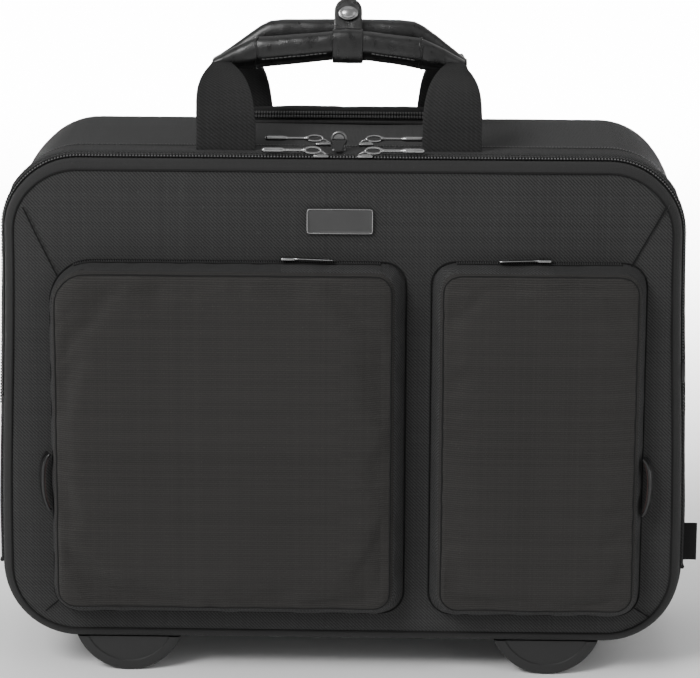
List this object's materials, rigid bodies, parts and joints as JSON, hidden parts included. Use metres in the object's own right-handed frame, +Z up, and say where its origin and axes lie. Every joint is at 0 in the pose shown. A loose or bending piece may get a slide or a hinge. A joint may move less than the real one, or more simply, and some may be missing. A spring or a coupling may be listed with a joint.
{
  "type": "rolling laptop case",
  "caption": "Soft laptop case on wheels, with front pockets, a padded sleeve, carry handles with a snap, and a telescopic trolley handle.",
  "frame": {"origin": "on the floor, under the middle of the case", "axes": "+X to the right seen from the front, -Y towards the front pockets, +Z up"},
  "size_m": [0.4468, 0.215, 0.433],
  "materials": {
    "ballistic_twill": "coarse twill weave, matt",
    "pocket_rib": "fine horizontal rib weave, matt",
    "binding": "smooth plain weave, matt",
    "zip_tape": "woven tape and nylon coil",
    "lining": "padded lining",
    "board": "plain board",
    "webbing": "herringbone webbing",
    "leather": "glossy creased leather with stitching",
    "gunmetal": "dark polished metal",
    "tube_metal": "brushed tube",
    "steel": "plain steel",
    "moulded_black": "fine moulded texture",
    "foot_plastic": "fine moulded texture",
    "hub_plastic": "satin",
    "tyre": "matt rubber",
    "label": "plain woven label"
  },
  "bodies": {
    "case": {"base_panel": "ballistic_twill", "rear_gusset": "ballistic_twill", "back_panel": "ballistic_twill", "back_board": "board", "main_zip_case": "zip_tape", "handle_cover": "ballistic_twill", "cover_zip": "zip_tape", "outer_tubes": "tube_metal", "trolley_bezel": "moulded_black", "trolley_foot": "moulded_black", "wheel_housing_left": "moulded_black", "wheel_housing_right": "moulded_black", "wheel_axles": "steel", "base_skid": "moulded_black", "laptop_sleeve": "lining", "foot_left": "foot_plastic", "foot_right": "foot_plastic"},
    "left_wheel": {"tyre_left": "tyre", "hub_left": "hub_plastic", "bearings_left": "steel"},
    "right_wheel": {"tyre_right": "tyre", "hub_right": "hub_plastic", "bearings_right": "steel"},
    "front_section": {"front_gusset": "ballistic_twill", "main_zip_front": "zip_tape", "front_divider": "lining", "lid_zip_case": "zip_tape", "lock_ring": "gunmetal", "side_label": "label"},
    "front_lid": {"front_panel": "ballistic_twill", "panel_binding": "binding", "lid_zip_panel": "zip_tape", "left_pocket": "pocket_rib", "right_pocket": "pocket_rib", "pocket_zips": "zip_tape", "nameplate": "gunmetal", "side_loops": "leather"},
    "front_handle": {"front_webbing": "webbing", "front_grip": "leather", "front_snap_tab": "leather", "snap_cap": "gunmetal"},
    "rear_handle": {"rear_webbing": "webbing", "rear_grip": "leather", "rear_snap_tab": "leather", "snap_stud": "gunmetal"},
    "trolley_lower": {"mid_tubes": "tube_metal"},
    "trolley_upper": {"inner_tubes": "tube_metal", "trolley_grip": "moulded_black", "button_spring": "steel"},
    "trolley_button": {"trolley_button": "moulded_black"},
    "left_pocket_slider": {"left_pocket_slider": "gunmetal"},
    "right_pocket_slider": {"right_pocket_slider": "gunmetal"},
    "lid_slider_left": {"lid_slider_left": "gunmetal"},
    "lid_pull_left": {"lid_pull_left": "gunmetal"},
    "lid_slider_right": {"lid_slider_right": "gunmetal"},
    "lid_pull_right": {"lid_pull_right": "gunmetal"},
    "main_slider_left": {"main_slider_left": "gunmetal"},
    "main_pull_left": {"main_pull_left": "gunmetal"},
    "main_slider_right": {"main_slider_right": "gunmetal"},
    "main_pull_right": {"main_pull_right": "gunmetal"}
  },
  "joints": [
    {"name": "left_wheel_spin", "type": "hinge", "parent": "case", "child": "left_wheel", "pos_m": [-0.168, 0.076, 0.031], "axis": [1, 0, 0], "continuous": true},
    {"name": "right_wheel_spin", "type": "hinge", "parent": "case", "child": "right_wheel", "pos_m": [0.168, 0.076, 0.031], "axis": [1, 0, 0], "continuous": true},
    {"name": "main_opening", "type": "hinge", "parent": "case", "child": "front_section", "pos_m": [0, -0.072, 0.025], "axis": [1, 0, 0], "range_deg": [0, 25]},
    {"name": "lid_opening", "type": "hinge", "parent": "front_section", "child": "front_lid", "pos_m": [0, -0.072, 0.025], "axis": [1, 0, 0], "range_deg": [0, 12]},
    {"name": "front_handle_tilt", "type": "hinge", "parent": "front_section", "child": "front_handle", "pos_m": [0, -0.06, 0.3435], "axis": [1, 0, 0], "range_deg": [0, 90]},
    {"name": "rear_handle_tilt", "type": "hinge", "parent": "case", "child": "rear_handle", "pos_m": [0, 0.1026, 0.319], "axis": [1, 0, 0], "range_deg": [-90, 0]},
    {"name": "trolley_lower_slide", "type": "slide", "parent": "case", "child": "trolley_lower", "axis": [0, 0, 1], "range_m": [0, 0.25], "deforming": ["handle_cover"]},
    {"name": "trolley_upper_slide", "type": "slide", "parent": "trolley_lower", "child": "trolley_upper", "axis": [0, 0, 1], "range_m": [0, 0.25], "deforming": ["handle_cover"]},
    {"name": "trolley_button_press", "type": "slide", "parent": "trolley_upper", "child": "trolley_button", "axis": [0, 0, -1], "range_m": [0, 0.004], "stiffness_N_per_m": 400, "deforming": ["button_spring"]},
    {"name": "lid_slider_left_run", "type": "slide", "parent": "front_section", "child": "lid_slider_left", "axis": [-1, 0, 0], "range_m": [0, 0.13]},
    {"name": "lid_pull_left_lift", "type": "hinge", "parent": "lid_slider_left", "child": "lid_pull_left", "pos_m": [-0.014, -0.072, 0.3459], "axis": [0, 1, 0], "range_deg": [0, 120]},
    {"name": "lid_slider_right_run", "type": "slide", "parent": "front_section", "child": "lid_slider_right", "axis": [1, 0, 0], "range_m": [0, 0.13]},
    {"name": "lid_pull_right_lift", "type": "hinge", "parent": "lid_slider_right", "child": "lid_pull_right", "pos_m": [0.014, -0.072, 0.3459], "axis": [0, -1, 0], "range_deg": [0, 120]},
    {"name": "main_slider_left_run", "type": "slide", "parent": "case", "child": "main_slider_left", "axis": [-1, 0, 0], "range_m": [0, 0.13]},
    {"name": "main_pull_left_lift", "type": "hinge", "parent": "main_slider_left", "child": "main_pull_left", "pos_m": [-0.014, -0.028, 0.3459], "axis": [0, 1, 0], "range_deg": [0, 120]},
    {"name": "main_slider_right_run", "type": "slide", "parent": "case", "child": "main_slider_right", "axis": [1, 0, 0], "range_m": [0, 0.13]},
    {"name": "main_pull_right_lift", "type": "hinge", "parent": "main_slider_right", "child": "main_pull_right", "pos_m": [0.014, -0.028, 0.3459], "axis": [0, -1, 0], "range_deg": [0, 120]},
    {"name": "left_pocket_zip_run", "type": "slide", "parent": "front_lid", "child": "left_pocket_slider", "axis": [1, 0, 0], "range_m": [-0.12, 0.035]},
    {"name": "right_pocket_zip_run", "type": "slide", "parent": "front_lid", "child": "right_pocket_slider", "axis": [1, 0, 0], "range_m": [-0.03, 0.04]}
  ]
}
